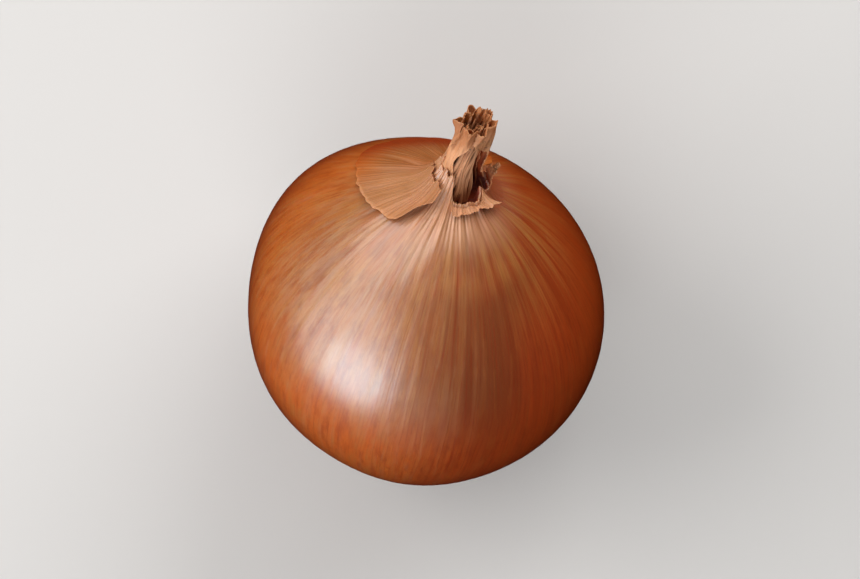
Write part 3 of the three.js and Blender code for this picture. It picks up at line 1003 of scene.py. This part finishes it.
def add_tube(form, path, thick, apart, height=0.0):
    """A tapered tube along a path, a little flattened, with its ends closed.

    apart sets its patterns apart from those of other tubes, and height is that of its points."""
    thick = thick.copy()
    thick[-1] *= 0.4
    tangent = unit(np.gradient(path, axis=0))
    side = unit(np.cross(tangent, TUBE_HELPER))
    other = np.cross(tangent, side)
    turn = np.arange(TUBE_SIDES) * TAU / TUBE_SIDES
    ring = np.cos(turn)[None, :, None] * side[:, None]
    ring += TUBE_FLATNESS * np.sin(turn)[None, :, None] * other[:, None]
    points = path[:, None] + ring * thick[:, None, None]
    gone = np.concatenate([[0], np.cumsum(np.linalg.norm(np.diff(path, axis=0), axis=1))])
    grain = vectors(np.cos(turn) * 0.02 + apart, np.sin(turn) * 0.02, gone[:, None] / BULB_RADIUS)
    skin = np.broadcast_to(vectors(gone, 0, height)[:, None], grain.shape)
    form.add(points, grid_faces(len(path), TUBE_SIDES, closed=True)[:, ::-1], grain=grain, skin=skin)
    fan = [[i, (i + 1) % TUBE_SIDES, TUBE_SIDES] for i in range(TUBE_SIDES)]
    around = [*range(TUBE_SIDES), 0]  # a cap's middle reads what its first point reads
    for end, faces in ((0, fan), (-1, [face[::-1] for face in fan])):
        cap = np.concatenate([points[end], [points[end].mean(axis=0)]])
        form.add(cap, faces, grain=grain[end, around], skin=skin[end, around])


# ---- Roots ----

PLATE_RADIUS = 3.9
ROOTLETS = 74
ROOTLET_STEPS = 14
ROOTLETS_OVER_TABLE = 0.35  # how close to the table a rootlet's middle line comes
plate_lumps = Ripple(61, 3, 17, drift=3.0)


def make_roots(finish):
    """The corky base plate and the dried rootlets that curl out of it."""
    rounds, rings = 120, 40
    angle, share = np.meshgrid(np.arange(rounds) * TAU / rounds, np.linspace(0, 1, rings))
    radius = PLATE_RADIUS * np.sin(share * math.pi / 2) ** 0.9
    height = ROOT_END + 0.5 - 1.25 * np.cos(share * math.pi / 2) ** 0.7
    lumps = 0.16 * plate_lumps(angle, 6 * share) * smoothstep(share, 0, 0.2)
    radius += lumps
    plate = vectors(radius * np.cos(angle), radius * np.sin(angle), height - lumps)
    faces = grid_faces(rings, rounds, closed=True)[:, ::-1]
    form = Form()
    form.add(plate, faces, grain=plate / BULB_RADIUS, skin=np.full_like(plate, 0.25))
    rng = np.random.default_rng(62)
    for index in range(ROOTLETS):
        add_rootlet(form, rng, index)
    declare(form.mesh("dried_root_tuft", finish), "root_tuft")


def add_rootlet(form, rng, index):
    """One rootlet, which leaves the plate, curls and stays over the table."""
    angle = index * GOLDEN_ANGLE
    start = 0.95 * PLATE_RADIUS * math.sqrt((index + 0.5) / ROOTLETS)
    out = np.array([math.cos(angle), math.sin(angle), 0])
    down = np.array([0, 0, -1.0])
    facing_table = max(0.0, -math.sin(angle))
    length = rng.uniform(1.6, 3.6) * (1 - 0.45 * facing_table)
    sideways = np.cross(out, down)
    steps = np.linspace(0, 1, ROOTLET_STEPS)[:, None]
    bend = rng.uniform(-1.4, 1.4)
    curl = rng.uniform(0.2, 1.5)
    heading = down * (0.9 - 0.2 * start / PLATE_RADIUS) + out * (0.15 + 0.5 * start / PLATE_RADIUS)
    path = out * start + np.array([0, 0, ROOT_END - 0.15])
    path = path + heading * length * (steps - 0.35 * curl * steps ** 2.4)
    path += sideways * bend * (1 - np.cos(2.2 * steps))
    path += out * 0.25 * np.sin(5 * steps + index) * steps
    path = kept_over_table(path, ROOTLETS_OVER_TABLE)
    thick = rng.uniform(0.13, 0.27) * (1 - 0.5 * steps[:, 0])
    add_tube(form, path, thick, 0.37 * index)


# ---- Stage ----

NECK_LEAN_IN_PICTURE = math.radians(13.5)  # clockwise from straight up
PICTURE_HEIGHT = 62 * MM  # what the picture's short side spans at the shallot
PICTURE_ASPECT = 860 / 579
CAMERA_DISTANCE = 0.8  # in metres
CAMERA_NEAREST = 0.01
SENSOR = 36.0  # in millimetres

FLOOR_REACH = 3.0  # in metres
FLOOR_COLOUR = (0.64, 0.63, 0.62, 1.0)
FLOOR_ROUGHNESS = 0.8
ROOM_COLOUR = (0.86, 0.86, 0.87, 1.0)
ROOM_STRENGTH = 0.15

LAMP_COLOUR = (1.0, 0.988, 0.972)
WINDOW_COLOUR = (0.91, 1.0, 1.1)  # the highlight's light is a little cooler than the rest
CORE_COLOUR = (0.66, 1.0, 1.2)  # and its core cooler still

# Soft lights: the direction of each from the shallot in the picture (right, up and out of it), its distance
# and size in metres, its power in watts and its colour. HIGHLIGHTS only gleam, and FILLS only light.
HIGHLIGHTS = [
    ("window_softbox", (-0.735, -0.4, 0.55), 0.45, (0.58, 0.58), 1.3, WINDOW_COLOUR),
    ("window_core", (-0.68, -0.53, 0.5), 0.44, (0.28, 0.28), 0.62, CORE_COLOUR),
    ("sky_softbox", (-0.28, 0.62, 0.73), 0.46, (0.66, 0.42), 1.4, LAMP_COLOUR),
]
FILLS = [
    ("key_softbox", (-0.85, 0.2, 0.5), 0.46, (0.46, 0.46), 1.85, LAMP_COLOUR),
    ("top_softbox", (-0.28, 0.62, 0.73), 0.46, (0.66, 0.42), 1.5, LAMP_COLOUR),
    ("right_softbox", (0.52, 0.78, 0.46), 0.5, (0.5, 0.5), 2.15, LAMP_COLOUR),
    ("front_softbox", (-0.18, -0.9, 0.39), 0.5, (0.5, 0.5), 1.7, LAMP_COLOUR),
]


def picture_axes():
    """The picture's right and up directions in the frame, as the camera looks straight down."""
    turn = Matrix.Rotation(NECK_LEAN_IN_PICTURE, 3, "Z")
    return turn @ Vector((-1, 0, 0)), turn @ Vector((0, -1, 0))


def make_camera(middle):
    right, up = picture_axes()
    data = bpy.data.cameras.new("camera")
    data.sensor_width = SENSOR
    data.lens = SENSOR * CAMERA_DISTANCE / (PICTURE_HEIGHT * PICTURE_ASPECT)
    data.clip_start = CAMERA_NEAREST
    camera = add_object("camera", data)
    turn = Matrix((right, up, Vector((0, 0, 1)))).transposed().to_4x4()
    camera.matrix_world = Matrix.Translation(middle + Vector((0, 0, CAMERA_DISTANCE))) @ turn
    bpy.context.scene.camera = camera


def make_softbox(middle, name, towards, distance, size, power, colour):
    right, up = picture_axes()
    direction = (right * towards[0] + up * towards[1] + Vector((0, 0, towards[2]))).normalized()
    data = bpy.data.lights.new(name, "AREA")
    data.shape = "ELLIPSE"
    data.size, data.size_y = size
    data.energy = power
    data.color = colour
    light = add_object(name, data)
    light.location = middle + direction * distance
    light.rotation_mode = "QUATERNION"
    light.rotation_quaternion = (-direction).to_track_quat("-Z", "Y")
    light.visible_camera = False
    return light


def make_floor():
    """A plain pale floor, which the shallot neither mirrors nor takes light from."""
    data = bpy.data.meshes.new("floor")
    corners = [(FLOOR_REACH * x, FLOOR_REACH * y, 0) for x, y in ((-1, -1), (1, -1), (1, 1), (-1, 1))]
    data.from_pydata(corners, [], [(0, 1, 2, 3)])
    material = bpy.data.materials.new("pale_floor")
    material.use_nodes = True
    surface = material.node_tree.nodes["Principled BSDF"].inputs
    surface["Base Color"].default_value = FLOOR_COLOUR
    surface["Roughness"].default_value = FLOOR_ROUGHNESS
    data.materials.append(material)
    floor = add_object("floor", data)
    floor.visible_glossy = False
    floor.visible_diffuse = False


def make_room():
    """A faint even light from all round, which leaves no highlight."""
    world = bpy.data.worlds.new("studio")
    world.use_nodes = True
    background = world.node_tree.nodes["Background"]
    background.inputs["Color"].default_value = ROOM_COLOUR
    background.inputs["Strength"].default_value = ROOM_STRENGTH
    world.cycles_visibility.glossy = False
    bpy.context.scene.world = world


def make_stage():
    middle = (cad_box[0] + cad_box[1]) / 2
    make_camera(middle)
    make_floor()
    for settings in HIGHLIGHTS:
        make_softbox(middle, *settings).visible_diffuse = False
    for settings in FILLS:
        make_softbox(middle, *settings).visible_glossy = False
    make_room()
    bpy.context.scene.view_settings.view_transform = "Standard"


# ---- Making ----

make_stage()
dry_scale = scale_finish()
make_bulb(skin_finish())
make_outer_scale(dry_scale)
make_collar_curl(dry_scale)
make_leaves(leaf_finish())
make_stalk(stalk_finish())
make_roots(root_finish())
